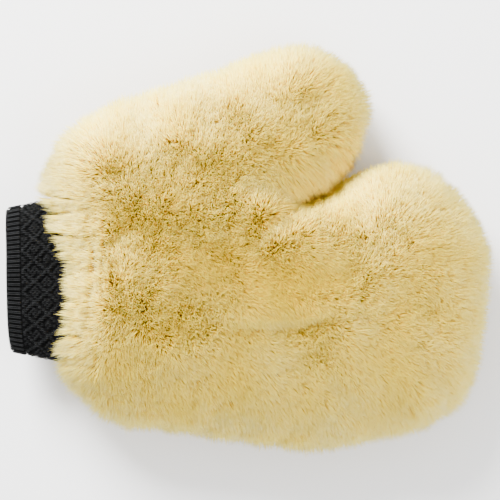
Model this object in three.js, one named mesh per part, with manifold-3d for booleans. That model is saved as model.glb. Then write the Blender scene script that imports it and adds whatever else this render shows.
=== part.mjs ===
// A lambswool wash mitt with a thumb and a knitted cuff, lying flat with its palm up.
//
// Two sheepskin pelts, palm and back, are sewn together round their edge with the wool outside. Each pelt is a thin
// hide and the pile that grows from it. A folded tube of black knitting with an elastic in its fold closes the wrist.
// The mitt bends in three places: the fingers curl towards the palm, the thumb swings out, and the cuff flexes at
// the wrist. Each pelt is divided at those bends, because a node is rigid.
//
// Millimetres. +X runs from the cuff to the fingertips, +Y towards the thumb and +Z out of the palm. Until the last
// lines z = 0 is the plane of the edge seam; then the mitt is set down with its base centred on the origin.
import * as THREE from "three";
import { mergeVertices } from "three/addons/utils/BufferGeometryUtils.js";
import Module from "manifold-3d";

// Pelts
const pile = 20; // length of the wool
const hide = 1.5; // thickness of the tanned skin
const handRise = 11; // half the depth of the hand pocket, hide included
const thumbRise = 9; // the same for the thumb pocket
const flattened = 3; // how far the wool under the hand is pressed flat by its own weight
const gap = 0.3; // between pieces that touch
const seamGap = 0.4; // between the palm and back pelts along the edge seam

// The sewn edge of each lobe is the outline stretched round these circles: x, y and radius.
const heel = { x: -58, y: -45, r: 40 };
const palmEdge = { x: 40, y: -47, r: 51 };
const littleFinger = { x: 88, y: -62, r: 25 };
const forefinger = { x: 78, y: -12, r: 42 };
const thumbBase = { x: -62, y: 22, r: 40 };
const thumbTip = { x: 28, y: 77, r: 20 };

// Cuff
const wristX = -103; // where the cuff is sewn to the hides, and the axis of the wrist bend
const wristY = -18.5; // middle of the cuff there
const wristWidth = 93; // flat width of the cuff at the wrist
const wristDepth = 24; // its height there
const cuffLength = 36; // from the wrist seam to the rim
const rimWidth = 81;
const rimDepth = 22;
const knit = 1.5; // thickness of one layer of knitting
const foldSlot = 1.7; // room between the two layers
const foldLength = 3; // solid knitting at the rim, where the tube is folded
const elasticWidth = 8;
const elasticThickness = 1;

// Seams, overcast with thread on the inside
const overlockWidth = 4;
const overlockHeight = 3;

// Bends
const curlX = 25; // knuckle line
const curlBelowPalm = 16; // depth of the curl axis under the palm's wool
const curlClearance = 0.6; // radial, at the knuckle
const wristFlex = 15; // degrees each way
const wristClearance = 0.5;
const thumbSpread = 20; // degrees the thumb swings out
const thumbKnuckle = 37; // radius of its round root, wider than the pocket there
const thumbClearance = 0.6;

const handCircles = [heel, palmEdge, littleFinger, forefinger];
const thumbCircles = [thumbBase, thumbTip];
const wristCircle = { x: wristX - 15, y: wristY, r: wristWidth / 2 };
const far = 400; // larger than the mitt, for cutting
const directions = 48; // points round an outline
const palmTop = handRise + pile;
const floor = -(palmTop - flattened);
const curlZ = palmTop - curlBelowPalm;
const curlRadius = curlZ - floor;
const wristRadius = wristDepth / 2 + gap;

const wasm = await Module();
wasm.setup();

// Solids from three.js geometry, and back

function solid(geometry) {
  const flat = geometry.index ? geometry.toNonIndexed() : geometry;
  const bare = new THREE.BufferGeometry().setAttribute("position", flat.getAttribute("position"));
  const merged = mergeVertices(bare, 1e-4);
  const vertProperties = merged.attributes.position.array;
  const triVerts = new Uint32Array(merged.index.array);
  return new wasm.Manifold(new wasm.Mesh({ numProp: 3, vertProperties, triVerts }));
}

function geometryOf(made) {
  const mesh = made.getMesh();
  const geometry = new THREE.BufferGeometry();
  geometry.setAttribute("position", new THREE.BufferAttribute(mesh.vertProperties, 3));
  geometry.setIndex(new THREE.BufferAttribute(mesh.triVerts, 1));
  geometry.computeVertexNormals();
  return geometry;
}

function box(x0, y0, z0, x1, y1, z1) {
  const geometry = new THREE.BoxGeometry(x1 - x0, y1 - y0, z1 - z0);
  return solid(geometry.translate((x0 + x1) / 2, (y0 + y1) / 2, (z0 + z1) / 2));
}

// A cylinder along Y.
function crossBar(x, z, radius) {
  return solid(new THREE.CylinderGeometry(radius, radius, 2 * far, 96).translate(x, 0, z));
}

// A cylinder along Z.
function post(x, y, radius) {
  const upright = new THREE.CylinderGeometry(radius, radius, 2 * far, 96).rotateX(Math.PI / 2);
  return solid(upright.translate(x, y, 0));
}

function prism(points, bottom, top) {
  const shape = new THREE.Shape(points);
  const geometry = new THREE.ExtrudeGeometry(shape, { depth: top - bottom, bevelEnabled: false });
  return solid(geometry.translate(0, 0, bottom));
}

// Rings of points, all of one length, skinned into a closed solid with a fan over each end.
function skin(rings) {
  const count = rings[0].length;
  const middles = [rings[0], rings.at(-1)].map((ring) =>
    ring.reduce((sum, p) => sum.add(p), new THREE.Vector3()).divideScalar(count),
  );
  const triangles = [];
  for (let j = 0; j < count; j++) {
    const k = (j + 1) % count;
    triangles.push(middles[0], rings[0][k], rings[0][j]);
    triangles.push(middles[1], rings.at(-1)[j], rings.at(-1)[k]);
    for (let i = 0; i + 1 < rings.length; i++) {
      const [a, b] = [rings[i], rings[i + 1]];
      triangles.push(a[j], a[k], b[k], a[j], b[k], b[j]);
    }
  }
  return solid(new THREE.BufferGeometry().setFromPoints(triangles));
}

// Shapes of the mitt

// The outline round the circles, each grown by extra, with their radii then scaled by share.
function outline(circles, extra = 0, share = 1) {
  const points = [];
  for (let j = 0; j < directions; j++) {
    const angle = (2 * Math.PI * j) / directions;
    const [ux, uy] = [Math.cos(angle), Math.sin(angle)];
    const reach = (c) => c.x * ux + c.y * uy + c.r;
    const c = circles.reduce((best, other) => (reach(other) > reach(best) ? other : best));
    points.push(new THREE.Vector2(c.x + (c.r + extra) * share * ux, c.y + (c.r + extra) * share * uy));
  }
  return points;
}

// A puffed pad over an outline, as deep below z = 0 as it rises above it.
function pad(circles, extra, rise) {
  const steps = 6;
  const steepest = 75; // degrees up the side at which the nearly flat top begins
  const fullness = 2.4; // 2 is an ellipse in section, and more is squarer
  const rings = [];
  for (let i = -steps; i <= steps; i++) {
    const angle = THREE.MathUtils.degToRad((steepest * i) / steps);
    const share = Math.cos(angle) ** (2 / fullness);
    const z = rise * Math.sign(angle) * Math.abs(Math.sin(angle)) ** (2 / fullness);
    rings.push(outline(circles, extra, share).map((p) => new THREE.Vector3(p.x, p.y, z)));
  }
  return skin(rings);
}

// The cuff's outside, shrunk by inset and filled, from past the wrist axis to its rim.
function cuffPlug(inset = 0, rimX = wristX - cuffLength) {
  const sides = 44;
  const start = wristX + 2 * wristRadius;
  const straight = 8; // the part next to the wrist that keeps its full width
  const rings = [];
  for (const x of [rimX, (rimX + wristX - straight) / 2, wristX - straight, start]) {
    const share = Math.min(1, Math.max(0, (wristX - straight - x) / (cuffLength - straight)));
    const halfWidth = THREE.MathUtils.lerp(wristWidth, rimWidth, share) / 2 - inset;
    const halfDepth = THREE.MathUtils.lerp(wristDepth, rimDepth, share) / 2 - inset;
    const ring = [];
    for (let j = 0; j < sides; j++) {
      const angle = (2 * Math.PI * j) / sides;
      const round = (v) => Math.sign(v) * Math.abs(v) ** 0.8; // a little squarer than an ellipse
      const y = wristY + halfWidth * round(Math.cos(angle));
      ring.push(new THREE.Vector3(x, y, halfDepth * round(Math.sin(angle))));
    }
    rings.push(ring);
  }
  return skin(rings);
}

function turnedAtWrist(made, degrees) {
  return made.translate(-wristX, 0, 0).rotate(0, degrees, 0).translate(wristX, 0, 0);
}

// Everything the cuff passes through as it flexes, with room round it.
function cuffSweep() {
  const plug = cuffPlug(-wristClearance, wristX - cuffLength - far / 8);
  const swept = [-1, -0.5, 0, 0.5, 1].map((share) => turnedAtWrist(plug, share * wristFlex));
  const behind = box(-far, -far, -far, wristX, far, far);
  const reach = behind.add(crossBar(wristX, 0, wristRadius + wristClearance));
  return swept.reduce((all, one) => all.add(one)).intersect(reach);
}

// Cutting tools for the bends

const thumbAxis = new THREE.Vector2(thumbTip.x - thumbBase.x, thumbTip.y - thumbBase.y);
const reachOfThumb = thumbAxis.length();
thumbAxis.normalize();

// The crotch is where the thumb's sewn edge leaves the hand's: the tangent on the thumb's inner side meets the
// tangent along the hand's top edge.
function tangent(a, b, side) {
  const along = new THREE.Vector2(b.x - a.x, b.y - a.y);
  const lean = Math.asin((b.r - a.r) / along.length());
  const angle = Math.atan2(along.y, along.x) + side * (Math.PI / 2 + lean);
  const normal = new THREE.Vector2(Math.cos(angle), Math.sin(angle));
  const start = new THREE.Vector2(a.x, a.y).addScaledVector(normal, a.r);
  const direction = new THREE.Vector2(side * normal.y, -side * normal.x);
  return { start, direction, normal };
}

function crossing(one, other) {
  const between = other.start.clone().sub(one.start);
  const distance = between.cross(other.direction) / one.direction.cross(other.direction);
  return one.start.clone().addScaledVector(one.direction, distance);
}

const thumbInner = tangent(thumbBase, thumbTip, -1);
const thumbOuter = tangent(thumbBase, thumbTip, 1);
const handUpper = tangent(heel, forefinger, 1);
const crotch = crossing(thumbInner, handUpper);

// The thumb turns about the middle of its root, which runs from the crotch straight across to the wool's outside.
const rootOutside = crossing(
  { start: crotch, direction: new THREE.Vector2(-thumbAxis.y, thumbAxis.x) },
  { start: thumbOuter.start.clone().addScaledVector(thumbOuter.normal, pile), direction: thumbOuter.direction },
);
const thumbPivot = rootOutside.clone().add(crotch).divideScalar(2);

// The thumb's share of the mitt: a round root, what lies beyond it, and above the line down the crotch.
function thumbShare(clearance) {
  const parting = thumbInner.direction.clone().add(handUpper.direction).normalize();
  const across = rootOutside.clone().sub(crotch).normalize();
  const apex = crotch.clone().addScaledVector(parting, -clearance).addScaledVector(across, -clearance);
  const corner = (direction) => apex.clone().addScaledVector(direction, far);
  const beyond = corner(across).add(parting.clone().multiplyScalar(far));
  const blade = prism([apex, corner(parting), beyond, corner(across)], -far, far);
  return blade.add(post(thumbPivot.x, thumbPivot.y, thumbKnuckle + clearance));
}

function turnedAtThumb(made, degrees) {
  const { x, y } = thumbPivot;
  return made.translate(-x, -y, 0).rotate(0, 0, degrees).translate(x, y, 0);
}

const thumbSide = thumbShare(0);
const thumbRoom = thumbShare(thumbClearance);
const notThumb = thumbRoom.add(turnedAtThumb(thumbRoom, thumbSpread));

// The fingers' share: past the knuckle line and outside the round end of the hand's share.
const beforeKnuckles = box(-far, -far, -far, curlX, far, far);
const handSide = beforeKnuckles.add(crossBar(curlX, curlZ, curlRadius - curlClearance / 2));
const notFingers = box(-far, -far, -far, curlX + curlClearance, far, far).add(
  crossBar(curlX, curlZ, curlRadius + curlClearance / 2),
);

const abovePalmSeam = box(-far, -far, seamGap / 2, far, far, far);
const belowBackSeam = box(-far, -far, floor, far, far, -seamGap / 2);
const insideWrist = box(-far, -far, -far, wristX, far, far).add(
  crossBar(wristX, 0, wristRadius + wristClearance),
);
const wristSeamStart = wristX + wristRadius + wristClearance + gap;
const wristSeamEnd = wristSeamStart + overlockWidth;
const cuffSide = box(-far, -far, -far, wristX, far, far).add(crossBar(wristX, 0, wristRadius));

// The layers of the mitt, each over hand and thumb

function pocket(inset) {
  return pad([wristCircle, ...handCircles], -inset, handRise - inset).add(
    pad(thumbCircles, -inset, thumbRise - inset),
  );
}

const sweptByCuff = cuffSweep();
const wool = pad(handCircles, pile, palmTop)
  .add(pad([heel, thumbBase], pile, palmTop))
  .add(pad(thumbCircles, pile, thumbRise + pile))
  .subtract(pocket(-gap))
  .subtract(sweptByCuff);
const hides = pocket(0).subtract(pocket(hide)).subtract(insideWrist);

// The edge seam's overcast allowance, a strip that follows the outline inside the pocket.
function seamStrip(circles) {
  const outer = hide + gap;
  const half = overlockHeight / 2;
  return prism(outline(circles, -outer), -half, half).subtract(
    prism(outline(circles, -outer - overlockWidth), -far, far),
  );
}

const fleeceColour = "#ead98f";
const hideColour = "#d9c6a0";
const threadColour = "#e9e2cf";
const knitColour = "#1b1c1e";
const elasticColour = "#efece4";

const mitt = new THREE.Group();

function piece(name, made, colour, roughness) {
  const material = new THREE.MeshStandardMaterial({ color: colour, roughness, metalness: 0 });
  const mesh = new THREE.Mesh(geometryOf(made), material);
  mesh.name = name;
  mitt.add(mesh);
}

// Each layer of pelt is divided into its palm and back halves, and those at the knuckles and the thumb.
function pelt(layer, name, colour, roughness) {
  for (const [half, side] of [
    ["palm", abovePalmSeam],
    ["back", belowBackSeam],
  ]) {
    const whole = layer.intersect(side);
    const hand = whole.subtract(notThumb);
    piece(`hand_${half}_${name}`, hand.intersect(handSide), colour, roughness);
    piece(`finger_${half}_${name}`, hand.subtract(notFingers), colour, roughness);
    piece(`thumb_${half}_${name}`, whole.intersect(thumbSide), colour, roughness);
  }
}

function edgeSeams() {
  const room = pocket(hide + gap).intersect(box(wristSeamEnd + gap, -far, -far, far, far, far));
  const handStrip = seamStrip([wristCircle, ...handCircles]).subtract(pocketOf(thumbCircles));
  const thumbStrip = seamStrip(thumbCircles).subtract(pocketOf([wristCircle, ...handCircles]));
  const strip = handStrip.add(thumbStrip).intersect(room);
  const hand = strip.subtract(notThumb).intersect(handSide).decompose();
  const places = ["little_finger_side", "crotch", "thumb_side"];
  hand.sort((a, b) => lowestY(a) - lowestY(b));
  hand.forEach((part, i) => piece(`edge_overlock_${places[i]}`, part, threadColour, 0.9));
  piece("edge_overlock_fingertips", strip.subtract(notThumb).subtract(notFingers), threadColour, 0.9);
  piece("edge_overlock_thumb", strip.intersect(thumbSide), threadColour, 0.9);
}

// The flat middle of a lobe's pocket, where the other lobe's seam doesn't run.
function pocketOf(circles) {
  return prism(outline(circles, -hide - gap - overlockWidth), -far, far);
}

function lowestY(made) {
  return made.boundingBox().min[1];
}

function wristSeam() {
  const ring = pocket(hide + gap).subtract(pocket(hide + gap + overlockHeight / 2));
  const place = box(wristSeamStart, -far, -far, wristSeamEnd, far, far);
  piece("wrist_overlock", ring.intersect(place), threadColour, 0.9);
}

function cuff() {
  const rimX = wristX - cuffLength;
  const inner = knit + foldSlot;
  const slot = cuffPlug(knit)
    .subtract(cuffPlug(inner))
    .intersect(box(rimX + foldLength, -far, -far, far, far, far));
  const through = cuffPlug(inner + knit, rimX - 1);
  piece("knit_cuff", cuffPlug().intersect(cuffSide).subtract(slot).subtract(through), knitColour, 0.9);

  const spare = (foldSlot - elasticThickness) / 2;
  const start = rimX + foldLength + gap;
  const band = cuffPlug(knit + spare)
    .subtract(cuffPlug(knit + spare + elasticThickness))
    .intersect(box(start, -far, -far, start + elasticWidth, far, far));
  piece("cuff_elastic", band, elasticColour, 0.7);
}

pelt(wool, "fleece", fleeceColour, 0.95);
pelt(hides, "hide", hideColour, 0.8);
edgeSeams();
wristSeam();
cuff();

// Set down on its back, with the middle of its base on the origin.
const bounds = new THREE.Box3().setFromObject(mitt);
const middle = bounds.getCenter(new THREE.Vector3());
mitt.position.set(-middle.x, -middle.y, -bounds.min.z);

export default mitt;
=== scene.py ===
import math

import bmesh
import bpy
import numpy as np
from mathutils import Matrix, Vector, noise


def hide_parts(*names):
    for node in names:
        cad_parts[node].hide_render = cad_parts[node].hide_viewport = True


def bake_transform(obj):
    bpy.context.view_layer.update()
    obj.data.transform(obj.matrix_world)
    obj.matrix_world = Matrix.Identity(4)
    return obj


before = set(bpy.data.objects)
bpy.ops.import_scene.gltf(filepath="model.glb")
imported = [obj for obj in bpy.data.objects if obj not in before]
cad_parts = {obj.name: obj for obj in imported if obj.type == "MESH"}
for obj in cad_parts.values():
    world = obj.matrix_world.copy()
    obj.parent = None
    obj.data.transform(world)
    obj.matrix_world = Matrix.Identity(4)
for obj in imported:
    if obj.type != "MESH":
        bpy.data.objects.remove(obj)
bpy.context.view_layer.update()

# ---- Pelts -----------------------------------------------------------------------------------------------------
# Two shorn lambskins, palm and back, sewn together round their edge with the wool outside. Their skins make one
# puffed bag over hand and thumb, open at the wrist, and everything woolly grows from it.

MM = 0.001
SEAM_Z = 28.0  # height of the edge seam over the table, and all these sizes are in millimetres
HEEL = (-55.5, -44.5, 40)  # the sewn edge is stretched round these circles: x, y, radius
PALM_EDGE = (39.5, -46.5, 51)
LITTLE_FINGER = (87.5, -61.5, 25)
FOREFINGER = (77.5, -11.5, 42)
THUMB_BASE = (-56.5, 28.0, 40)
THUMB_TIP = (27.5, 77.5, 20)
HEEL_CORNER = (-76.5, 34.0, 23.5)
WEB = (9.0, 21.0, 3.0)  # the skin between thumb and fingers reaches out to here
WRIST = (-103.5, -18.0)  # x of the wrist seam, and y of the cuff's middle there

UNDERWOOL_GROW = 10.0  # before it is puffed, the under-wool reaches this far out from the sewn edge
UNDERWOOL_RISE = 18.5  # and this far above and below it
UNDERWOOL_DEPTH = 7.0
HIDE_GAP = 0.4  # between the under-wool and the hide
HIDE_THICKNESS = 1.5
GRID = 3.0  # edge length of the bag's mesh
OUTLINE_POINTS = 120  # points round each lobe
POLE = 86.0  # degrees up and down to each lobe's flat middle

PUFF_FRAMES = 16
PUFF_PRESSURE = 4.0
PUFF_LIMIT = 3.0  # no point moves further than this

BEND_THUMB = ((-26.0, 56.5, SEAM_Z), (21.0, 85.0, SEAM_Z))  # where the thumb starts and ends its bend
BEND_FINGERS = ((-8.0, 0.0, SEAM_Z), (72.0, 0.0, SEAM_Z))
PLEATS = (-62.0, -44.8, -26.8, -12.0, 3.4, 23.7)  # y of each gather round the wrist
PLEAT_WIDTH = 2.2
PLEAT_DEPTH = 4.5
PLEATS_END = -90.0  # x round which they fade out
CREASE = (-84.5, -20.0)  # middle of the fold across the heel
CREASE_SIZE = (3.5, 42.0)  # half its width and half its length
CREASE_DEPTH = 2.5
PARTING = ((-20.6, 6.6), (0.875, 0.485))  # a point and direction of the line down the crotch
PARTING_END = 48.0  # how far down the line the thumb and the hand start to part
BROW_RISE = 4.5  # the thumb's edge stands this high over the crotch
DIP_DEPTH = 9.0  # and the hand's edge dips this far beneath it
WRIST_HOLE = (47.0, 13.0)  # half the width and depth of the hole the cuff goes into
WRIST_HOLE_END = -85.0
BROAD_SWELL = 2.2  # height of the skin's wide unevenness, and of its narrow one
SMALL_SWELL = 1.1


def new_object(name, data):
    made = bpy.data.objects.new(name, data)
    bpy.context.collection.objects.link(made)
    return made


def mesh_object(name, points, faces):
    """A mesh object from points in millimetres."""
    data = bpy.data.meshes.new(name)
    data.from_pydata((np.asarray(points, float) * MM).tolist(), [], faces)
    data.update()
    return new_object(name, data)


def baked(made, name):
    """A plain mesh object with made's modifiers applied, in place of made."""
    graph = bpy.context.evaluated_depsgraph_get()
    graph.update()
    data = bpy.data.meshes.new_from_object(made.evaluated_get(graph), depsgraph=graph)
    data.name = name
    bpy.data.objects.remove(made)
    return new_object(name, data)


def modify(made, kind, **settings):
    modifier = made.modifiers.new(kind.lower(), kind)
    for key, value in settings.items():
        setattr(modifier, key, value)
    return modifier


def ring_faces(rings, count, closed=False):
    """The faces between rings of count points each, with the last ring joined to the first where closed."""
    faces = []
    for i in range(rings if closed else rings - 1):
        for j in range(count):
            k, below, above = (j + 1) % count, i * count, (i + 1) % rings * count
            faces.append([below + j, below + k, above + k, above + j])
    return faces


def capped(rings, count):
    """The faces of a closed form made of rings, with a flat face at each end."""
    last = (rings - 1) * count
    caps = [list(range(count))[::-1], [last + j for j in range(count)]]
    return caps + ring_faces(rings, count)


def lobe(name, circles, grow, rise, steps=10, fullness=2.4):
    """A closed puffed pad over the outline round the circles, as deep below the edge seam as it rises above it."""
    angles = np.linspace(0, 2 * math.pi, OUTLINE_POINTS, endpoint=False)
    ways = np.stack([np.cos(angles), np.sin(angles)], 1)
    centres = np.array([c[:2] for c in circles], float)
    radii = np.array([c[2] for c in circles], float) + grow
    rings = []
    for tilt in np.radians(np.linspace(-POLE, POLE, 2 * steps + 1)):
        share = math.cos(tilt) ** (2 / fullness)
        z = SEAM_Z + rise * math.copysign(abs(math.sin(tilt)) ** (2 / fullness), tilt)
        best = np.argmax(ways @ centres.T + radii, axis=1)
        xy = centres[best] + ways * (radii[best] * share)[:, None]
        rings.append(np.column_stack([xy, np.full(len(xy), z)]))
    return mesh_object(name, np.concatenate(rings), capped(len(rings), OUTLINE_POINTS))


def joined(objects):
    bpy.ops.object.select_all(action="DESELECT")
    for made in objects:
        made.select_set(True)
    bpy.context.view_layer.objects.active = objects[0]
    bpy.ops.object.join()
    return objects[0]


lobes = joined([
    lobe("bag", [HEEL, PALM_EDGE, LITTLE_FINGER, FOREFINGER], UNDERWOOL_GROW, UNDERWOOL_RISE),
    lobe("bag_heel", [HEEL, THUMB_BASE, HEEL_CORNER], UNDERWOOL_GROW, UNDERWOOL_RISE),
    lobe("bag_thumb", [THUMB_BASE, THUMB_TIP], UNDERWOOL_GROW, UNDERWOOL_RISE - 2),
    lobe("bag_web", [HEEL, THUMB_BASE, WEB], UNDERWOOL_GROW, UNDERWOOL_RISE - 1),
])
modify(lobes, "REMESH", mode="VOXEL", voxel_size=GRID * MM, adaptivity=0.0)
modify(lobes, "SMOOTH", factor=0.5, iterations=6)
bag = baked(lobes, "bag")


def puffed(made):
    """The bag blown up and settled as soft skin by a short cloth simulation, no point moving far."""
    scene = bpy.context.scene
    start = [vertex.co.copy() for vertex in made.data.vertices]
    cloth = modify(made, "CLOTH")
    cloth.settings.quality = 4
    cloth.settings.mass = 0.4
    cloth.settings.tension_stiffness = 12
    cloth.settings.compression_stiffness = 12
    cloth.settings.bending_stiffness = 0.6
    cloth.settings.use_pressure = True
    cloth.settings.uniform_pressure_force = PUFF_PRESSURE
    cloth.settings.effector_weights.gravity = 0.0
    cloth.collision_settings.use_collision = False
    cloth.point_cache.frame_start = 1
    cloth.point_cache.frame_end = PUFF_FRAMES
    for moment in range(1, PUFF_FRAMES + 1):
        scene.frame_set(moment)
    settled = baked(made, "bag")
    scene.frame_set(1)
    for vertex, first in zip(settled.data.vertices, start):
        moved = vertex.co - first
        limit = PUFF_LIMIT * MM
        held = limit * math.tanh(moved.length / limit) / max(moved.length, 1e-9)
        place = first + moved * held
        vertex.co = [round(value, 5) for value in place]
    return settled


bag = puffed(bag)


def soft_noise(point, scale, seed):
    """Smooth noise about 0 for a point in millimetres."""
    return noise.noise((Vector(point) + Vector((seed * 37.1, seed * 11.3, seed * 5.7))) / scale)


def bump(value, middle, width):
    return math.exp(-(((value - middle) / width) ** 2))


def step(value, middle, width):
    """From 0 to 1 as value passes middle, or from 1 to 0 where width is negative."""
    return 1 / (1 + math.exp((middle - value) / width))


def crease_at(x, y, z):
    """From 0 to 1, the fold across the heel where the cuff's seam gathers the skin."""
    if z <= SEAM_Z:
        return 0.0
    wander = 1.5 * math.sin(y / 9.0)
    return bump(x + wander, CREASE[0], CREASE_SIZE[0]) * bump(y, CREASE[1], CREASE_SIZE[1])


def pleat_at(x, y):
    """The gathers round the wrist: from 0 to 1 how deep in one, and how far beyond the nearest one's middle."""
    nearest = min(PLEATS, key=lambda place: abs(y - place))
    return bump(y, nearest, PLEAT_WIDTH) * step(x, PLEATS_END, -4), y - nearest


def parting_place(x, y):
    """How far a point is along the line down the crotch, and how far beyond it on the thumb's side."""
    dx, dy = x - PARTING[0][0], y - PARTING[0][1]
    along = dx * PARTING[1][0] + dy * PARTING[1][1]
    return along, dy * PARTING[1][0] - dx * PARTING[1][1]


def crotch_at(x, y):
    """How much a point is, from 0 to 1, on the thumb's brow over the crotch, and in the hand's dip beneath it."""
    along, across = parting_place(x, y)
    opened = step(along, PARTING_END, 4)
    return opened * bump(across, 9.0, 8.0), opened * bump(across, -10.0, 10.0)


def crumple(made):
    """Gives the bag the shallow swells and folds of soft skin, and opens it at the wrist."""
    mesh = bmesh.new()
    mesh.from_mesh(made.data)
    inside = []
    for vertex in mesh.verts:
        x, y, z = vertex.co / MM
        level = ((y - WRIST[1]) / WRIST_HOLE[0]) ** 2 + ((z - SEAM_Z) / WRIST_HOLE[1]) ** 2
        if x < WRIST_HOLE_END and level < 1:
            inside.append(vertex)
            continue
        swell = BROAD_SWELL * soft_noise((x, y, z * 0.6), 34, 1) + SMALL_SWELL * soft_noise((x, y, z), 15, 2)
        swell -= CREASE_DEPTH * crease_at(x, y, z) + PLEAT_DEPTH * pleat_at(x, y)[0]
        brow, dip = crotch_at(x, y)
        rise = (BROW_RISE * brow - DIP_DEPTH * dip) * step(z, SEAM_Z, 3)
        vertex.co += (vertex.normal * swell + Vector((0.0, 0.0, rise))) * MM
    bmesh.ops.delete(mesh, geom=inside, context="VERTS")
    mesh.to_mesh(made.data)
    mesh.free()


crumple(bag)

PILE = 12.5  # how far the locks stand on the palm, past the under-wool
PILE_AT_SIDE = 2.0  # how much longer than that they are at the edge seam, and so on
PILE_UNDERNEATH = -4.5
PILE_IN_PATCH = -3.5
PILE_ON_RIDGE = 2.0
PILE_ON_BROW = 1.0
PILE_IN_DIP = -8.0
PILE_IN_PLEAT = -4.0


def dress(made):
    """Writes the wool's lay, length, tufting and goldenness on the bag's points, for the locks to read.

    The palm has a flat golden patch with a ridge of longer wool beside it, the wrist's wool is combed over the cuff,
    and at the crotch the thumb's wool is combed over the dip. The goldenness also holds painted light and shade: the
    dip is painted deeper golden for the thumb's shadow, the sides paler for the light through the edge wool, and the
    ridge paler as a painted highlight.
    """
    data = made.data
    lay, pile, gather, gold = [], [], [], []
    for vertex in data.vertices:
        x, y, z = vertex.co / MM
        normal = vertex.normal
        side = 1 - abs(normal.z)
        up = max(0.0, normal.z)
        cuffward = step(x, -92, -6)
        flat_patch = bump(x, 14, 36) * bump(y, -18 + 0.05 * x, 14) * up
        ridge = bump(x, 16, 34) * bump(y, -36 + 0.08 * x, 4.5) * up
        comb = Vector((0.12, 0.04, -0.7 * side))
        comb += Vector((-1.1, 0.0, 0.0)) * cuffward
        for reach, share, first in ((34, 0.25, 3), (13, 0.14, 6)):
            comb += share * Vector([soft_noise((x, y, z), reach, first + i) for i in range(3)])
        comb += Vector((0.2, -0.4, 0)) * flat_patch + Vector((0.2, -0.7, 0)) * ridge
        comb += Vector((0.22, -0.3, 0)) * up * step(y, -48, -7)
        gathered, beyond = pleat_at(x, y)
        aside = Vector((-0.5, 0.8 * math.copysign(1.0, beyond), 0))
        comb += aside * bump(beyond, 0, 4) * step(x, PLEATS_END, -4)
        comb += Vector((0.6 if x > CREASE[0] else -0.9, 0, 0)) * crease_at(x, y, z)
        brow, dip = crotch_at(x, y)
        comb += Vector((0.7, -1.3, 0.0)) * brow + Vector((0.7, -0.9, -0.6)) * dip
        comb -= normal * normal.dot(comb)
        under = max(0.0, -normal.z)
        lay.append(comb * (1 + 0.8 * under))
        length = PILE + PILE_AT_SIDE * side + PILE_UNDERNEATH * under + PILE_IN_PATCH * flat_patch
        length += PILE_ON_RIDGE * ridge + PILE_ON_BROW * brow + PILE_IN_DIP * dip + PILE_IN_PLEAT * gathered
        length *= 1 + 0.16 * soft_noise((x, y, z), 20, 9) + 0.12 * soft_noise((x, y, z), 7, 10)
        pile.append(length * MM)
        gather.append(0.42 * (1 - 0.75 * flat_patch) + 0.3 * cuffward)
        # Painted light: the sides are painted paler and less golden for the light through the edge wool, and the
        # ridge is painted paler as a highlight on its lit tufts.
        warm = 0.45 + 0.5 * soft_noise((x, y, z), 26, 11) + 0.6 * flat_patch - 0.6 * side - 0.4 * ridge
        # Painted shadow: the hand's dip under the thumb's brow is painted deeper golden for the thumb's shadow.
        warm += 0.9 * dip - 0.5 * cuffward
        gold.append(min(1.0, max(0.0, warm)))
    for name, kind, values in (
        ("lay", "FLOAT_VECTOR", np.array(lay, np.float32).ravel()),
        ("pile", "FLOAT", np.array(pile, np.float32)),
        ("gather", "FLOAT", np.array(gather, np.float32)),
        ("gold", "FLOAT", np.array(gold, np.float32)),
    ):
        attribute = data.attributes.new(name, kind, "POINT")
        attribute.data.foreach_set("vector" if kind == "FLOAT_VECTOR" else "value", values)


dress(bag)


def zone_of(point):
    """Which of the three bodies' wool a point in millimetres belongs to."""
    x, y, z = point
    start, end = (np.array(p) for p in BEND_THUMB)
    beyond = (np.array((x, y)) - start[:2]) @ (end - start)[:2] > 0
    above = (y - PARTING[0][1]) * PARTING[1][0] - (x - PARTING[0][0]) * PARTING[1][1] > 0
    if beyond and above:
        return "thumb"
    return "finger" if x > BEND_FINGERS[0][0] else "hand"


def follow(made, zone):
    """Bakes a piece's transform into its mesh, alike for every zone."""
    if zone == "hand":
        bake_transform(made)
    elif zone == "finger":
        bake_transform(made)
    else:
        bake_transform(made)


def patch(made, name, keep):
    """A copy of made with only the faces for which keep(face) is true."""
    data = made.data.copy()
    data.name = name
    result = new_object(name, data)
    mesh = bmesh.new()
    mesh.from_mesh(data)
    mesh.faces.ensure_lookup_table()
    drop = [face for face in mesh.faces if not keep(face)]
    bmesh.ops.delete(mesh, geom=drop, context="FACES")
    mesh.to_mesh(data)
    mesh.free()
    return result


def linear(code):
    """An sRGB hex colour as the linear RGBA that a shader takes."""
    parts = [int(code[i:i + 2], 16) / 255 for i in (1, 3, 5)]
    return tuple(p / 12.92 if p <= 0.04045 else ((p + 0.055) / 1.055) ** 2.4 for p in parts) + (1.0,)


def add(tree, kind, sockets=None, **settings):
    """Adds a node, with its settings, and with each socket linked to a node's output or given a value."""
    made = tree.nodes.new(kind)
    for key, value in settings.items():
        setattr(made, key, value)
    for socket, value in (sockets or {}).items():
        if isinstance(value, bpy.types.NodeSocket):
            tree.links.new(value, made.inputs[socket])
        else:
            made.inputs[socket].default_value = value
    return made


def shader(name):
    """A new material and its emptied node tree."""
    material = bpy.data.materials.new(name)
    material.use_nodes = True
    material.node_tree.nodes.clear()
    return material, material.node_tree


def surface(tree, **sockets):
    """Ends a material's tree in one Principled shader."""
    principled = add(tree, "ShaderNodeBsdfPrincipled", {k.replace("_", " "): v for k, v in sockets.items()})
    add(tree, "ShaderNodeOutputMaterial", {"Surface": principled.outputs[0]})


def ramp(tree, factor, *stops):
    """A colour ramp over stops of position and hex colour."""
    made = add(tree, "ShaderNodeValToRGB", {"Fac": factor})
    elements = made.color_ramp.elements
    while len(elements) < len(stops):
        elements.new(0.5)
    for element, (position, code) in zip(elements, stops):
        element.position = position
        element.color = linear(code)
    return made.outputs["Color"]
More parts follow.
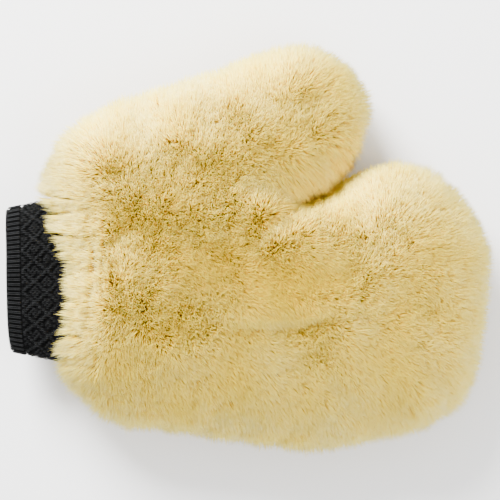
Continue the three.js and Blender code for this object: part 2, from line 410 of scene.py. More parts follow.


# Underwool: dense matt golden fibre, seen only down in the partings. Its deep golden is partly the fibre's own colour
# and partly painted shade for those partings, and it is uneven.
underwool, tree = shader("underwool_matt_golden")
place = add(tree, "ShaderNodeTexCoord").outputs["Object"]
mottle = add(tree, "ShaderNodeTexNoise", {"Vector": place, "Scale": 1 / (6 * MM), "Detail": 4.0})
fibre = add(tree, "ShaderNodeTexNoise", {"Vector": place, "Scale": 1 / (0.6 * MM), "Detail": 2.0})
relief = add(tree, "ShaderNodeBump", {"Height": fibre.outputs["Fac"], "Strength": 0.8, "Distance": 0.8 * MM})
surface(
    tree,
    Base_Color=ramp(tree, mottle.outputs["Fac"], (0.3, "#DCA50E"), (0.7, "#F0C01C")),
    Roughness=0.95,
    Normal=relief.outputs[0],
)

# Hide: the suede side of tanned sheepskin, matt and finely napped, pale tan with soft darker blotches.
suede, tree = shader("tanned_hide_suede")
place = add(tree, "ShaderNodeTexCoord").outputs["Object"]
blotch = add(tree, "ShaderNodeTexNoise", {"Vector": place, "Scale": 1 / (14 * MM), "Detail": 5.0})
nap = add(tree, "ShaderNodeTexNoise", {"Vector": place, "Scale": 1 / (0.5 * MM), "Detail": 3.0})
relief = add(tree, "ShaderNodeBump", {"Height": nap.outputs["Fac"], "Strength": 0.5, "Distance": 0.2 * MM})
surface(
    tree,
    Base_Color=ramp(tree, blotch.outputs["Fac"], (0.3, "#C3A578"), (0.7, "#DCC59E")),
    Roughness=0.9,
    Normal=relief.outputs[0],
)

for zone in ("hand", "finger", "thumb"):
    for name, inset, depth, material, part in (
        (f"underwool_{zone}", 0.0, UNDERWOOL_DEPTH, underwool, "fleece"),
        (f"hide_{zone}", UNDERWOOL_DEPTH + HIDE_GAP, HIDE_THICKNESS, suede, "hide"),
    ):
        shell = patch(bag, name, lambda face: zone_of(face.calc_center_median() / MM) == zone)
        for attribute in ("lay", "pile", "gather", "gold"):
            shell.data.attributes.remove(shell.data.attributes[attribute])
        if inset:
            for vertex, twin in zip(shell.data.vertices, [v.normal.copy() for v in shell.data.vertices]):
                vertex.co -= twin * inset * MM
        modify(shell, "SOLIDIFY", thickness=depth * MM, offset=-1.0)
        shell = baked(shell, name)
        shell.data.materials.append(material)
        shell.data.shade_smooth()
        follow(shell, zone)
        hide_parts(f"{zone}_palm_{part}", f"{zone}_back_{part}")

# ---- Wool ------------------------------------------------------------------------------------------------------
# Shorn lambswool about 20 mm long, washed and combed: fine crimped fibres that cling together in locks, and locks in
# tufts. The roots are golden and the tips cream. The roots' deeper golden is partly their own colour and partly
# painted shade for the warm light down in the pile. Each lock is one tapering sliver grown from the skin.

LOCK_WIDTH = 0.52
CURL = 2.8  # distance between neighbouring small locks that cling together
TUFT = 9.0  # distance between the middles of neighbouring tufts
LOCKS_PER_PIECE = 31000  # which keeps a piece under 200,000 triangles, at six to a lock
LOCK_BELLY = 0.45  # height of its widest part, as a share
LOCK_SIDES = 3
BACK_LOCK_WIDTH = 1.8  # the back's locks are fewer, and this many times as wide
LEAN = 0.6  # how far a lock leans the way it is combed, for each unit it stands up
STRAY = 0.2  # and how far any other way
LENGTHS = (0.86, 1.1)  # shortest and longest lock, as shares of the pile
WIDTHS = (0.7, 1.3)
TUFT_PULL = 0.3  # how far a tip is drawn to the middle of its tuft, as a share
CURL_PULL = 0.75
DROOP = 0.45  # how far a tip bows the way it is combed, as a share of its length
CRIMP_LENGTH = 4.0  # the locks wave over this distance
CRIMP_SWAY = 3.0
FULL_TURN = 6.283
TABLE_LAYER = 1.5  # wool pressed on the table spreads through this depth


def lock_shape():
    """One upright lock of unit height and width, with each point's height kept as an attribute."""
    angles = [2 * math.pi * side / LOCK_SIDES for side in range(LOCK_SIDES)]
    points = [(0, 0, 0), (0, 0, 1)]
    points += [(0.5 * math.cos(angle), 0.5 * math.sin(angle), LOCK_BELLY) for angle in angles]
    heights = [0.0, 1.0] + [LOCK_BELLY] * LOCK_SIDES
    faces = []
    for j in range(LOCK_SIDES):
        here, there = 2 + j, 2 + (j + 1) % LOCK_SIDES
        faces.append([0, there, here])
        faces.append([1, here, there])
    data = bpy.data.meshes.new("lock")
    data.from_pydata(points, [], faces)
    data.attributes.new("along", "FLOAT", "POINT").data.foreach_set("value", heights)
    data.shade_smooth()
    made = new_object("lock", data)
    made.hide_render = True
    made.hide_viewport = True
    return made


def group(name, sockets):
    """A geometry node tree with the given named inputs, its input node and its output node."""
    tree = bpy.data.node_groups.new(name, "GeometryNodeTree")
    tree.interface.new_socket("Geometry", in_out="INPUT", socket_type="NodeSocketGeometry")
    for socket, kind in sockets:
        tree.interface.new_socket(socket, in_out="INPUT", socket_type=f"NodeSocket{kind}")
    tree.interface.new_socket("Geometry", in_out="OUTPUT", socket_type="NodeSocketGeometry")
    return tree, tree.nodes.new("NodeGroupInput").outputs, tree.nodes.new("NodeGroupOutput").inputs


def named(tree, name, kind="FLOAT"):
    return add(tree, "GeometryNodeInputNamedAttribute", {"Name": name}, data_type=kind).outputs[0]


def vector(tree, operation, *sockets):
    made = add(tree, "ShaderNodeVectorMath", operation=operation)
    for i, value in enumerate(sockets):
        socket = made.inputs["Scale"] if operation == "SCALE" and i == 1 else made.inputs[i]
        if isinstance(value, bpy.types.NodeSocket):
            tree.links.new(value, socket)
        else:
            socket.default_value = value
    return made.outputs["Value" if operation in ("DOT_PRODUCT", "LENGTH") else "Vector"]


def number(tree, operation, *sockets):
    return add(tree, "ShaderNodeMath", dict(enumerate(sockets)), operation=operation).outputs[0]


def random(tree, low, high, seed):
    if isinstance(low, tuple):
        return add(tree, "FunctionNodeRandomValue", {0: low, 1: high, 8: seed}, data_type="FLOAT_VECTOR").outputs[0]
    return add(tree, "FunctionNodeRandomValue", {2: low, 3: high, 8: seed}, data_type="FLOAT").outputs[1]


def store(tree, geometry, name, value, kind="FLOAT"):
    return add(
        tree,
        "GeometryNodeStoreNamedAttribute",
        {"Geometry": geometry, "Name": name, "Value": value},
        data_type=kind,
        domain="POINT",
    ).outputs[0]


def fleece_tree():
    """Grows locks from a skin: scattered, leaned by its lay, gathered into tufts and curved over."""
    tree, given, result = group("fleece_locks", (
        ("Lock", "Object"), ("Density", "Float"), ("Width", "Float"), ("Tuft", "Float"),
        ("Curl", "Float"), ("Seed", "Int"), ("Material", "Material"),
    ))
    scattered = add(
        tree,
        "GeometryNodeDistributePointsOnFaces",
        {"Mesh": given["Geometry"], "Density": given["Density"], "Seed": given["Seed"]},
        distribute_method="RANDOM",
    )
    lay = named(tree, "lay", "FLOAT_VECTOR")
    lean = vector(tree, "SCALE", lay, LEAN)
    stray = random(tree, (-STRAY,) * 3, (STRAY,) * 3, 3)
    leaned = vector(tree, "ADD", scattered.outputs["Normal"], lean)
    way = vector(tree, "NORMALIZE", vector(tree, "ADD", leaned, stray))
    points = store(tree, scattered.outputs["Points"], "root", add(tree, "GeometryNodeInputPosition").outputs[0],
                   "FLOAT_VECTOR")
    length = number(tree, "MULTIPLY", named(tree, "pile"), random(tree, *LENGTHS, 5))
    points = store(tree, points, "length", length)
    points = store(tree, points, "tone", random(tree, 0.0, 1.0, 7))
    points = store(tree, points, "way", way, "FLOAT_VECTOR")
    turn = add(tree, "FunctionNodeAlignRotationToVector", {"Vector": named(tree, "way", "FLOAT_VECTOR")}, axis="Z")
    spin = add(tree, "ShaderNodeCombineXYZ", {"Z": random(tree, 0.0, FULL_TURN, 9)})
    turned = add(tree, "FunctionNodeRotateRotation", {0: turn.outputs[0], 1: spin.outputs[0]}, rotation_space="LOCAL")
    width = number(tree, "MULTIPLY", given["Width"], random(tree, *WIDTHS, 11))
    lock = add(tree, "GeometryNodeObjectInfo", {"Object": given["Lock"]}, transform_space="ORIGINAL")
    placed = add(tree, "GeometryNodeInstanceOnPoints", {
        "Points": points,
        "Instance": lock.outputs["Geometry"],
        "Rotation": turned.outputs[0],
        "Scale": add(tree, "ShaderNodeCombineXYZ", {"X": width, "Y": width, "Z": named(tree, "length")}).outputs[0],
    })
    grown = add(tree, "GeometryNodeRealizeInstances", {"Geometry": placed.outputs[0]}).outputs[0]

    along = named(tree, "along")
    root = named(tree, "root", "FLOAT_VECTOR")
    rise = number(tree, "POWER", along, 1.4)
    drawn = None
    for size, share in ((given["Tuft"], TUFT_PULL), (given["Curl"], CURL_PULL)):
        scale = number(tree, "DIVIDE", 1.0, size)
        warp = add(tree, "ShaderNodeTexNoise", {"Vector": root, "Scale": scale})
        shift = vector(tree, "SCALE", vector(tree, "SUBTRACT", warp.outputs["Color"], (0.5, 0.5, 0.5)), size)
        shaken = vector(tree, "ADD", root, shift)
        cell = add(tree, "ShaderNodeTexVoronoi", {"Vector": shaken, "Scale": scale}, feature="F1")
        towards = vector(tree, "SUBTRACT", cell.outputs["Position"], shaken)
        much = number(tree, "MULTIPLY", number(tree, "MULTIPLY", rise, named(tree, "gather")), share)
        pull = vector(tree, "SCALE", towards, much)
        drawn = vector(tree, "ADD", drawn, pull) if drawn else pull
    reach = number(tree, "MULTIPLY", named(tree, "length"), number(tree, "POWER", along, 2.0))
    droop = vector(tree, "SCALE", lay, number(tree, "MULTIPLY", reach, DROOP))
    place = add(tree, "GeometryNodeInputPosition").outputs[0]
    crimp = add(tree, "ShaderNodeTexNoise", {"Vector": place, "Scale": 1 / (CRIMP_LENGTH * MM)})
    waved = vector(tree, "SCALE", vector(tree, "SUBTRACT", crimp.outputs["Color"], (0.5, 0.5, 0.5)),
                   number(tree, "MULTIPLY", along, CRIMP_SWAY * MM))
    offset = vector(tree, "ADD", vector(tree, "ADD", drawn, droop), waved)
    moved = add(tree, "GeometryNodeSetPosition", {"Geometry": grown, "Offset": offset}).outputs[0]
    parts = add(tree, "ShaderNodeSeparateXYZ", {0: add(tree, "GeometryNodeInputPosition").outputs[0]})
    lowest = number(tree, "MULTIPLY", named(tree, "tone"), TABLE_LAYER * MM)
    lifted = add(tree, "ShaderNodeCombineXYZ", {
        "X": parts.outputs[0], "Y": parts.outputs[1],
        "Z": number(tree, "MAXIMUM", parts.outputs[2], lowest),
    })
    rested = add(tree, "GeometryNodeSetPosition", {"Geometry": moved, "Position": lifted.outputs[0]}).outputs[0]
    coloured = add(tree, "GeometryNodeSetMaterial", {"Geometry": rested, "Material": given["Material"]})
    tree.links.new(coloured.outputs[0], result[0])
    return tree


# Wool: matt, faintly sheened fibre that lets light through, so its shadows are warm. Golden at the root, cream at
# the tip, with each lock and each patch a little different. The deeper golden at the root is partly the wool's own
# colour and partly painted shade for the warm, saturated light down in the pile.
wool, tree = shader("lambswool_cream_matt")
along = add(tree, "ShaderNodeAttribute", attribute_name="along").outputs["Fac"]
tone = add(tree, "ShaderNodeAttribute", attribute_name="tone").outputs["Fac"]
gold = add(tree, "ShaderNodeAttribute", attribute_name="gold").outputs["Fac"]
depth = number(tree, "ADD", along, number(tree, "MULTIPLY", number(tree, "SUBTRACT", tone, 0.5), 0.3))
# Painted shade, in part: the deeper golden towards the root stands partly for the warm light down in the pile.
pale = ramp(tree, depth, (0.15, "#E8B510"), (0.55, "#F9D320"), (1.0, "#FFE642"))
rich = ramp(tree, depth, (0.15, "#E4A900"), (0.55, "#F6C404"), (1.0, "#FDD614"))
# The gold factor carries painted light and shade from dress: the dip is painted deeper golden for the thumb's shadow,
# and the sides and the ridge are painted paler. The rest is the wool's own golden patch and mottling.
mixed = add(tree, "ShaderNodeMix", {"Factor": gold, 6: pale, 7: rich}, data_type="RGBA")
surface(
    tree,
    Base_Color=mixed.outputs[2],
    Roughness=0.7,
    Specular_IOR_Level=0.08,
    Subsurface_Weight=0.4,
    Subsurface_Radius=(1.0, 0.8, 0.45),
    Subsurface_Scale=3 * MM,
)

DENSITY = {"palm": 4.6, "side": 3.6, "back": 0.6}  # locks to the square millimetre
lock = lock_shape()
locks = fleece_tree()


FACING = 0.55  # upright part of the normal past which skin belongs to the palm or the back


def side_of(face):
    if face.normal.z > FACING:
        return "palm"
    return "back" if face.normal.z < -FACING else "side"


def split(faces, limit):
    """Divides faces, each a (middle, share), at the middle of their longer way until no part passes limit."""
    if sum(share for _, share in faces) <= limit:
        return [faces]
    middles = np.array([middle for middle, _ in faces])
    axis = int(np.argmax(np.ptp(middles[:, :2], axis=0)))
    order = sorted(faces, key=lambda item: item[0][axis])
    half = len(order) // 2
    return split(order[:half], limit) + split(order[half:], limit)


def made_by(tree, base, name, inputs):
    """The plain mesh that a geometry node tree makes of base, with its named inputs given."""
    modifier = modify(base, "NODES", node_group=tree)
    identifiers = {s.name: s.identifier for s in tree.interface.items_tree if s.in_out == "INPUT"}
    for socket, value in inputs.items():
        modifier[identifiers[socket]] = value
    return baked(base, name)


seed = 0
for zone in ("hand", "finger", "thumb"):
    for side in ("palm", "side", "back"):
        middles = []
        for face in bag.data.polygons:
            middle = tuple(face.center / MM)
            if zone_of(middle) == zone and side_of(face) == side:
                middles.append((middle, face.area / MM**2 * DENSITY[side]))
        for index, part in enumerate(split(middles, LOCKS_PER_PIECE)):
            wanted = {tuple(round(v, 2) for v in middle) for middle, _ in part}
            skin = patch(
                bag, "skin",
                lambda face: tuple(round(v, 2) for v in face.calc_center_median() / MM) in wanted,
            )
            seed += 1
            tufts = made_by(locks, skin, f"wool_{zone}_{side}_{index + 1}", {
                "Lock": lock,
                "Density": DENSITY[side] / (MM * MM),
                "Width": LOCK_WIDTH * MM * (BACK_LOCK_WIDTH if side == "back" else 1.0),
                "Tuft": TUFT * MM,
                "Curl": CURL * MM,
                "Seed": seed,
                "Material": wool,
            })
            follow(tufts, zone)
            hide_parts(f"{zone}_{'back' if side == 'back' else 'palm'}_fleece")

bpy.data.objects.remove(lock)

# ---- Seams -----------------------------------------------------------------------------------------------------
# The pelts are overlocked together inside out, so the seam stands inside the pocket as a ridge of doubled polyester
# thread round both hides' edges. A ring of the same stitching holds the cuff to the wrist.

RIDGE_INSET = 9.4  # from the under-wool's face to the ridge
RIDGE_WIDTH = 4.0
RIDGE_HEIGHT = 3.0
LOOP_PITCH = 2.4  # distance between the thread's loops round the ridge
LOOP_SLANT = 0.3
LOOP_CORNER = 0.9  # radius of each loop's corners
THREAD = 0.7
EDGE_SEAM_START = -96.0  # x where the edge seam meets the ring at the wrist
RIDGE_SIDES = 12


def seam_line():
    """The edge seam's middle, in order round the bag from the little finger's side of the wrist."""
    mesh = bmesh.new()
    mesh.from_mesh(bag.data)
    every = mesh.verts[:] + mesh.edges[:] + mesh.faces[:]
    cut = bmesh.ops.bisect_plane(mesh, geom=every, plane_co=(0, 0, SEAM_Z * MM), plane_no=(0, 0, 1))
    mesh.normal_update()
    meeting = {}
    for item in cut["geom_cut"]:
        if isinstance(item, bmesh.types.BMEdge):
            for vertex in item.verts:
                meeting.setdefault(vertex, []).append(item)
    here = min((v for v in meeting if len(meeting[v]) == 1), key=lambda v: v.co.y)
    line, edge = [here], meeting[here][0]
    while edge:
        here = edge.other_vert(here)
        line.append(here)
        edge = next((other for other in meeting[here] if other is not edge), None)
    places = np.array([v.co[:2] for v in line]) / MM
    outward = np.array([v.normal[:2] for v in line])
    mesh.free()
    outward /= np.linalg.norm(outward, axis=1)[:, None]
    middle = places - outward * (RIDGE_INSET + RIDGE_WIDTH / 2)
    for _ in range(4):
        middle[1:-1] = (middle[:-2] + 2 * middle[1:-1] + middle[2:]) / 4
    middle = middle[middle[:, 0] > EDGE_SEAM_START]
    travelled = np.concatenate([[0], np.cumsum(np.linalg.norm(np.diff(middle, axis=0), axis=1))])
    steps = np.arange(0, travelled[-1], LOOP_PITCH)
    return np.stack([np.interp(steps, travelled, middle[:, k]) for k in (0, 1)], 1)


def faced_out(made):
    """Turns every face of a closed mesh outwards."""
    mesh = bmesh.new()
    mesh.from_mesh(made.data)
    bmesh.ops.recalc_face_normals(mesh, faces=mesh.faces)
    mesh.to_mesh(made.data)
    mesh.free()
    return made


def ridge(name, line, across):
    """The closed bar of hide edges and thread that the loops go round."""
    points = []
    for place, way in zip(line, across):
        for i in range(RIDGE_SIDES):
            turns = [f(2 * math.pi * i / RIDGE_SIDES) for f in (math.cos, math.sin)]
            wide, high = [math.copysign(abs(turn) ** 0.6, turn) for turn in turns]
            sideways = way * wide * (RIDGE_WIDTH - THREAD) / 2
            points.append((*(place + sideways), SEAM_Z + high * (RIDGE_HEIGHT - THREAD) / 2))
    return faced_out(mesh_object(name, points, capped(len(line), RIDGE_SIDES)))


def overlock_tree():
    """Winds a slanting loop of thread round the seam at each of its points, and lays a thread along each edge."""
    tree, given, result = group("overlock_loops", (
        ("Width", "Float"), ("Height", "Float"), ("Thread", "Float"), ("Material", "Material"),
    ))
    strand = add(tree, "GeometryNodeCurvePrimitiveCircle", {"Resolution": 5})
    tree.links.new(number(tree, "MULTIPLY", given["Thread"], 0.5), strand.inputs["Radius"])
    line = add(tree, "GeometryNodeMeshToCurve", {"Mesh": given["Geometry"]}).outputs[0]
    across = named(tree, "across", "FLOAT_VECTOR")
    pieces = []
    for side in (0.5, -0.5):
        offset = vector(tree, "SCALE", across, number(tree, "MULTIPLY", given["Width"], side))
        moved = add(tree, "GeometryNodeSetPosition", {"Geometry": line, "Offset": offset}).outputs[0]
        pieces.append(add(tree, "GeometryNodeCurveToMesh", {
            "Curve": moved, "Profile Curve": strand.outputs[0], "Fill Caps": True}).outputs[0])
    points = add(tree, "GeometryNodeCurveToPoints", {"Curve": line}, mode="EVALUATED")
    slant = vector(tree, "ADD", points.outputs["Tangent"], vector(tree, "SCALE", across, LOOP_SLANT))
    along = add(tree, "FunctionNodeAlignRotationToVector", {"Vector": slant}, axis="Z")
    upright = add(tree, "FunctionNodeAlignRotationToVector", {
        "Rotation": along.outputs[0], "Vector": (0.0, 0.0, 1.0)}, axis="Y", pivot_axis="Z")
    oblong = add(tree, "GeometryNodeCurvePrimitiveQuadrilateral", {0: given["Width"], 1: given["Height"]})
    rounded = add(tree, "GeometryNodeFilletCurve", {"Curve": oblong.outputs[0], "Radius": LOOP_CORNER * MM})
    loop = add(tree, "GeometryNodeCurveToMesh", {"Curve": rounded.outputs[0], "Profile Curve": strand.outputs[0]})
    pieces.append(add(tree, "GeometryNodeInstanceOnPoints", {
        "Points": points.outputs["Points"], "Instance": loop.outputs[0], "Rotation": upright.outputs[0]}).outputs[0])
    both = add(tree, "GeometryNodeJoinGeometry")
    for piece in pieces:
        tree.links.new(piece, both.inputs[0])
    wound = add(tree, "GeometryNodeRealizeInstances", {"Geometry": both.outputs[0]}).outputs[0]
    coloured = add(tree, "GeometryNodeSetMaterial", {"Geometry": wound, "Material": given["Material"]})
    tree.links.new(coloured.outputs[0], result[0])
    return tree


# Thread: twisted polyester, cream with a soft gloss, in fine slanting plies.
thread, tree = shader("polyester_thread_cream")
place = add(tree, "ShaderNodeTexCoord").outputs["Object"]
plies = add(tree, "ShaderNodeTexWave", {"Vector": place, "Scale": 1 / (3 * MM), "Distortion": 1.5})
relief = add(tree, "ShaderNodeBump", {"Height": plies.outputs["Fac"], "Strength": 0.5, "Distance": 0.1 * MM})
surface(
    tree,
    Base_Color=ramp(tree, plies.outputs["Fac"], (0.2, "#CFC3A6"), (0.8, "#EDE5D0")),
    Roughness=0.5,
    Normal=relief.outputs[0],
)

# Webbing: woven rubber elastic, off-white, its cords showing as fine ribs round the band.
webbing, tree = shader("woven_elastic_white")
place = add(tree, "ShaderNodeTexCoord").outputs["Object"]
cords = add(tree, "ShaderNodeTexWave", {"Vector": place, "Scale": 1 / (5 * MM), "Distortion": 0.3},
            bands_direction="X")
relief = add(tree, "ShaderNodeBump", {"Height": cords.outputs["Fac"], "Strength": 0.7, "Distance": 0.2 * MM})
surface(
    tree,
    Base_Color=ramp(tree, cords.outputs["Fac"], (0.2, "#CFCBC0"), (0.8, "#EFECE4")),
    Roughness=0.7,
    Normal=relief.outputs[0],
)
for name, finish in (("wrist_overlock", thread), ("cuff_elastic", webbing)):
    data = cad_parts[name].data
    data.materials.clear()
    data.materials.append(finish)

overlock = overlock_tree()
seam = seam_line()
zones = [zone_of((*place, SEAM_Z)) for place in seam]
starts = [i for i in range(len(seam)) if i == 0 or zones[i] != zones[i - 1]] + [len(seam)]
stands_for = {
    "little_finger_side": ("hand", ["edge_overlock_little_finger_side"]),
    "fingertips": ("finger", ["edge_overlock_fingertips", "edge_overlock_crotch"]),
    "thumb": ("thumb", ["edge_overlock_thumb"]),
    "thumb_side": ("hand", ["edge_overlock_thumb_side"]),
}
for (place, (zone, nodes)), first, last in zip(stands_for.items(), starts, starts[1:]):
    line = seam[first:last + 1]
    ways = np.gradient(line, axis=0)
    ways /= np.linalg.norm(ways, axis=1)[:, None]
    across = np.stack([ways[:, 1], -ways[:, 0]], 1)
    bar = ridge(f"overlock_ridge_{place}", line, across)
    bar.data.materials.append(thread)
    loops = mesh_object(f"overlock_loops_{place}", [(*point, SEAM_Z) for point in line], [])
    loops.data.edges.add(len(line) - 1)
    loops.data.edges.foreach_set("vertices", [end for i in range(len(line) - 1) for end in (i, i + 1)])
    out = np.column_stack([across, np.zeros(len(line))]).astype(np.float32)
    loops.data.attributes.new("across", "FLOAT_VECTOR", "POINT").data.foreach_set("vector", out.ravel())
    loops = made_by(overlock, loops, f"overlock_loops_{place}", {
        "Width": RIDGE_WIDTH * MM,
        "Height": RIDGE_HEIGHT * MM,
        "Thread": THREAD * MM,
        "Material": thread,
    })
    for made in (bar, loops):
        made.data.shade_smooth()
        follow(made, zone)
        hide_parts(*nodes)

bpy.data.objects.remove(bag)

# ---- Cuff ------------------------------------------------------------------------------------------------------
# A tube of black acrylic double knit folded back on itself, the fold being the rim. The rim is a band of ribs held in
# by an elastic in the fold, and the rest has a raised lozenge figure. Its open end is sewn to the pelts.

RIM_X = -139.5
CUFF_END_X = -91.0
RIM_SIZE = (81.0, 22.0)  # width and depth over the outside, at the rim and at the wrist
WRIST_SIZE = (93.0, 24.0)
TAPER = 28.0  # it widens from the one to the other over this length
TUBE_INSET = 0.5  # the knitting's ground, under its stitches, lies this far in
LINING_INSET = 4.7  # and the inner layer's smooth face this far
KNIT = 1.2  # thickness of one layer under its stitches
FOLD = ((0.35, 1.2), (0.0, 2.4), (0.35, 3.8))  # the turn at the rim, each point's distance from it and its inset
FOLD_START = 1.2  # where the outer face turns in to the fold, from the rim
FOLD_INSIDE = 3.0  # and where the space for the elastic ends
RELIEF = 1.6
BACKING = 0.8  # share of the stitches' relief that the ground follows, so that no light shows between them
CUFF_TILT = 0.05  # it sits a little askew on the wrist
WALE = 1.5  # distance between stitches round the cuff, and along it
COURSE = 1.15
RIB = 3.0
RIB_BAND = (1.3, 8.4)  # where the ribs start and end, from the rim
LOZENGE = (13.0, 14.5)
LOZENGE_START = RIB_BAND[1] + 1.0
LEG_PATH = [(-0.85, 0.06), (-0.35, 0.30), (0.35, 0.34), (0.85, 0.10)]  # a stitch's leg, in courses and wales
LEG_RADIUS = 0.30
LEG_WIDTH = 0.825  # its width for its height


def cuff_ring(x, inset, count):
    """Points evenly spaced round the cuff at x, that far inside its outer face, with the way out of it at each."""
    share = min(1.0, max(0.0, (x - RIM_X) / TAPER))
    half = [((1 - share) * r + share * w) / 2 - inset for r, w in zip(RIM_SIZE, WRIST_SIZE)]
    angles = np.linspace(0, 2 * math.pi, 721)
    rounded = [np.sign(f) * np.abs(f) ** 0.8 for f in (np.cos(angles), np.sin(angles))]
    y, z = half[0] * rounded[0], half[1] * rounded[1]
    distance = np.concatenate([[0], np.cumsum(np.hypot(np.diff(y), np.diff(z)))])
    places = np.linspace(0, distance[-1], count, endpoint=False)
    y, z = np.interp(places, distance, y), np.interp(places, distance, z)
    along = np.stack([np.roll(y, -1) - np.roll(y, 1), np.roll(z, -1) - np.roll(z, 1)], 1)
    out = np.column_stack([np.zeros(count), along[:, 1], -along[:, 0]])
    out /= np.linalg.norm(out, axis=1)[:, None]
    sag = 0.5 * np.sin(y / 13.0 + x / 9.0) + 0.3 * np.sin(y / 5.0 - x / 7.0)
    points = np.column_stack([x + 0.7 * np.sin(y / 21.0) - CUFF_TILT * y, y + WRIST[1], z + SEAM_Z])
    points[:, 2] += sag * np.clip(1 - share, 0.25, 1)
    return points, out


def knit_relief(round_mm, from_rim):
    """How high the knitting stands at a distance round the cuff and from its rim."""
    if from_rim < RIB_BAND[0]:
        return 0.35
    if from_rim < RIB_BAND[1]:
        return RELIEF * abs(math.cos(math.pi * round_mm / RIB)) ** 0.8
    if from_rim < LOZENGE_START:
        return 0.0
    u, v = round_mm / LOZENGE[0], (from_rim - LOZENGE_START) / LOZENGE[1]
    from_middle = max(abs(way - round(way)) for way in (u + v, u - v))
    if from_middle > 0.38:
        return RELIEF * bump(from_middle, 0.5, 0.09)  # the lozenge's raised border
    bobble = (round(round_mm / WALE) + int(from_rim / COURSE)) % 2
    return RELIEF * (0.2 + 0.6 * bobble) if from_middle < 0.26 else 0.0


# Knit: matt black acrylic yarn, a little fuzzy, so its edges catch a grey sheen; each stitch differs slightly. Its
# tone also holds painted shade and painted highlight, with low stitches darker and raised ones lighter.
knit, tree = shader("acrylic_knit_black_matt")
tone = add(tree, "ShaderNodeAttribute", attribute_name="tone").outputs["Fac"]
place = add(tree, "ShaderNodeTexCoord").outputs["Object"]
strand = add(tree, "ShaderNodeTexNoise", {"Vector": place, "Scale": 1 / (0.4 * MM), "Detail": 3.0})
relief = add(tree, "ShaderNodeBump", {"Height": strand.outputs["Fac"], "Strength": 0.6, "Distance": 0.15 * MM})
surface(
    tree,
    Base_Color=ramp(tree, tone, (0.0, "#040404"), (0.5, "#0C0D0D"), (1.0, "#222324")),
    Roughness=0.8,
    Specular_IOR_Level=0.07,
    Sheen_Weight=0.04,
    Sheen_Roughness=0.4,
    Sheen_Tint=linear("#9A9DA0"),
    Normal=relief.outputs[0],
)

ring, _ = cuff_ring(WRIST[0], 0.0, 360)
cuff_girth = float(np.linalg.norm(np.roll(ring, -1, axis=0) - ring, axis=1).sum())
stitches_round = int(round(cuff_girth / WALE))
tube_points = 2 * stitches_round
profile = [(x, TUBE_INSET) for x in np.linspace(CUFF_END_X, RIM_X + FOLD_START, 36)]
profile += [(RIM_X + from_rim, inset) for from_rim, inset in FOLD]
profile += [(x, LINING_INSET) for x in np.linspace(RIM_X + FOLD_START, CUFF_END_X, 24)]
profile += [(x, LINING_INSET - KNIT) for x in np.linspace(CUFF_END_X, RIM_X + FOLD_INSIDE, 18)]
profile += [(x, TUBE_INSET + KNIT) for x in np.linspace(RIM_X + FOLD_INSIDE, CUFF_END_X, 18)]
rings = []
for x, inset in profile:
    ring, out = cuff_ring(x, inset, tube_points)
    if inset == TUBE_INSET and x < WRIST[0] - 1:
        backing = [BACKING * knit_relief(j * WALE / 2, x - RIM_X) for j in range(tube_points)]
        ring += out * np.array(backing)[:, None]
    rings.append(ring)
tube = mesh_object("cuff_tube", np.concatenate(rings), ring_faces(len(profile), tube_points, closed=True))
tube.data.materials.append(knit)
tube.data.shade_smooth()
tube.data.attributes.new("tone", "FLOAT", "POINT").data.foreach_set("value", [0.2] * len(tube.data.vertices))
follow(tube, "hand")
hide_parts("knit_cuff")


def stitch_shape():
    """One knitted stitch, a V of two plump legs that taper to a point at each end."""
    points, faces = [], []
    (foot, foot_out), *thick, (tip, tip_out) = LEG_PATH
    for turn in (-1, 1):
        base = len(points)
        points.append((foot * COURSE, turn * foot_out * WALE, -0.2))
        for x, y in thick:
            for side in range(3):
                angle = 2 * math.pi * side / 3 + 0.5
                wide = LEG_RADIUS * math.cos(angle) * LEG_WIDTH
                points.append((x * COURSE, turn * y * WALE + wide, 0.15 + LEG_RADIUS * math.sin(angle)))
        points.append((tip * COURSE, turn * tip_out * WALE, 0.25))
        for j in range(3):
            k = (j + 1) % 3
            faces.append([base, base + 1 + k, base + 1 + j])
            faces.append([base + 1 + j, base + 1 + k, base + 4 + k, base + 4 + j])
            faces.append([base + 4 + j, base + 4 + k, base + 7])
    made = faced_out(mesh_object("stitch", points, faces))
    made.data.shade_smooth()
    made.hide_render = True
    return made


def knitting_tree():
    """Sets a stitch on each point of a net, upright on the net's normal and pointing along the cuff."""
    tree, given, result = group("knitting_stitches", (
        ("Stitch", "Object"), ("Seed", "Int"), ("Material", "Material"),
    ))
    points = add(tree, "GeometryNodeMeshToPoints", {"Mesh": given["Geometry"]}, mode="VERTICES").outputs[0]
    # Painted shade and highlight: a stitch's tone rises with how high it stands in the relief, so recessed stitches
    # are painted darker and raised ones lighter. A little random tone is added on top.
    painted_relief_shade = number(tree, "MULTIPLY", named(tree, "height"), 0.75)
    points = store(tree, points, "tone", number(tree, "ADD", painted_relief_shade, random(tree, 0.0, 0.25, given["Seed"])))
    upright = add(tree, "FunctionNodeAlignRotationToVector", {"Vector": named(tree, "out", "FLOAT_VECTOR")}, axis="Z")
    pointed = add(tree, "FunctionNodeAlignRotationToVector", {
        "Rotation": upright.outputs[0], "Vector": (1.0, 0.0, 0.0)}, axis="X", pivot_axis="Z")
    shape = add(tree, "GeometryNodeObjectInfo", {"Object": given["Stitch"]}, transform_space="ORIGINAL")
    placed = add(tree, "GeometryNodeInstanceOnPoints", {
        "Points": points, "Instance": shape.outputs["Geometry"], "Rotation": pointed.outputs[0]})
    knitted = add(tree, "GeometryNodeRealizeInstances", {"Geometry": placed.outputs[0]}).outputs[0]
    coloured = add(tree, "GeometryNodeSetMaterial", {"Geometry": knitted, "Material": given["Material"]})
    tree.links.new(coloured.outputs[0], result[0])
    return tree


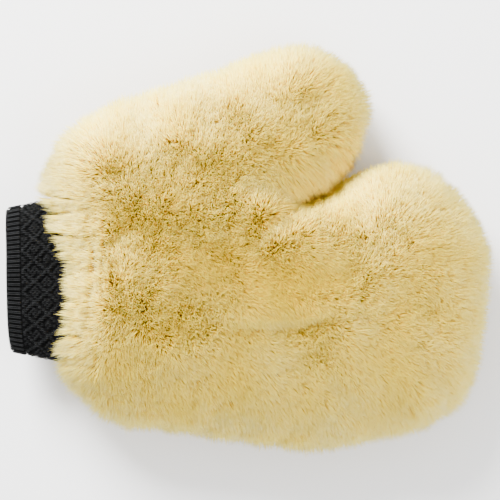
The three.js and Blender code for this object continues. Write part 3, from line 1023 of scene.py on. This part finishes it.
stitch = stitch_shape()
knitting = knitting_tree()
net, outs, heights = [], [], []  # a point for each stitch, the way out of the cuff there, and how high it stands
for row, x in enumerate(np.arange(RIM_X + 0.9, WRIST[0] - 1.0, COURSE)):
    points, out = cuff_ring(x, TUBE_INSET - 0.05, stitches_round)
    for j in range(stitches_round):
        height = knit_relief(j * WALE, x - RIM_X)
        net.append(points[j] + out[j] * height)
        outs.append(out[j])
        heights.append(height / RELIEF)
stitches = mesh_object("knit_stitches", net, [])
stitches.data.attributes.new("out", "FLOAT_VECTOR", "POINT").data.foreach_set(
    "vector", np.array(outs, np.float32).ravel())
stitches.data.attributes.new("height", "FLOAT", "POINT").data.foreach_set("value", heights)
stitches = made_by(knitting, stitches, "knit_stitches", {"Stitch": stitch, "Seed": 4, "Material": knit})
follow(stitches, "hand")
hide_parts("knit_cuff")
bpy.data.objects.remove(stitch)

# ---- Studio ----------------------------------------------------------------------------------------------------
# A white sweep under large soft lamps, the brightest up and to the left, seen from straight above.

paper, tree = shader("studio_paper_white")
surface(tree, Base_Color=linear("#F4F4F4"), Roughness=0.9)
bpy.ops.mesh.primitive_plane_add(size=6)
floor = bpy.context.object
floor.name = "floor"
floor.data.materials.append(paper)


def lamp(name, place, size, watts, aim=(0, 0, 0.03)):
    data = bpy.data.lights.new(name, "AREA")
    data.shape = "DISK"
    data.size = size
    data.energy = watts
    made = new_object(name, data)
    made.location = place
    made.rotation_euler = (Vector(aim) - Vector(place)).to_track_quat("-Z", "Y").to_euler()


lamp("key_lamp", (-0.6, 1.15, 0.85), 0.8, 130)
lamp("fill_lamp", (0.9, -0.5, 1.0), 1.2, 16)
world = bpy.data.worlds.new("studio_air")
world.use_nodes = True
world.node_tree.nodes["Background"].inputs["Color"].default_value = linear("#FFFFFF")
world.node_tree.nodes["Background"].inputs["Strength"].default_value = 1.6
bpy.context.scene.world = world

camera_data = bpy.data.cameras.new("camera")
camera_data.lens = 100
camera_data.clip_start = 0.01
camera = new_object("camera", camera_data)
camera.location = (0.00067, -0.00063, 0.8356)
bpy.context.scene.camera = camera
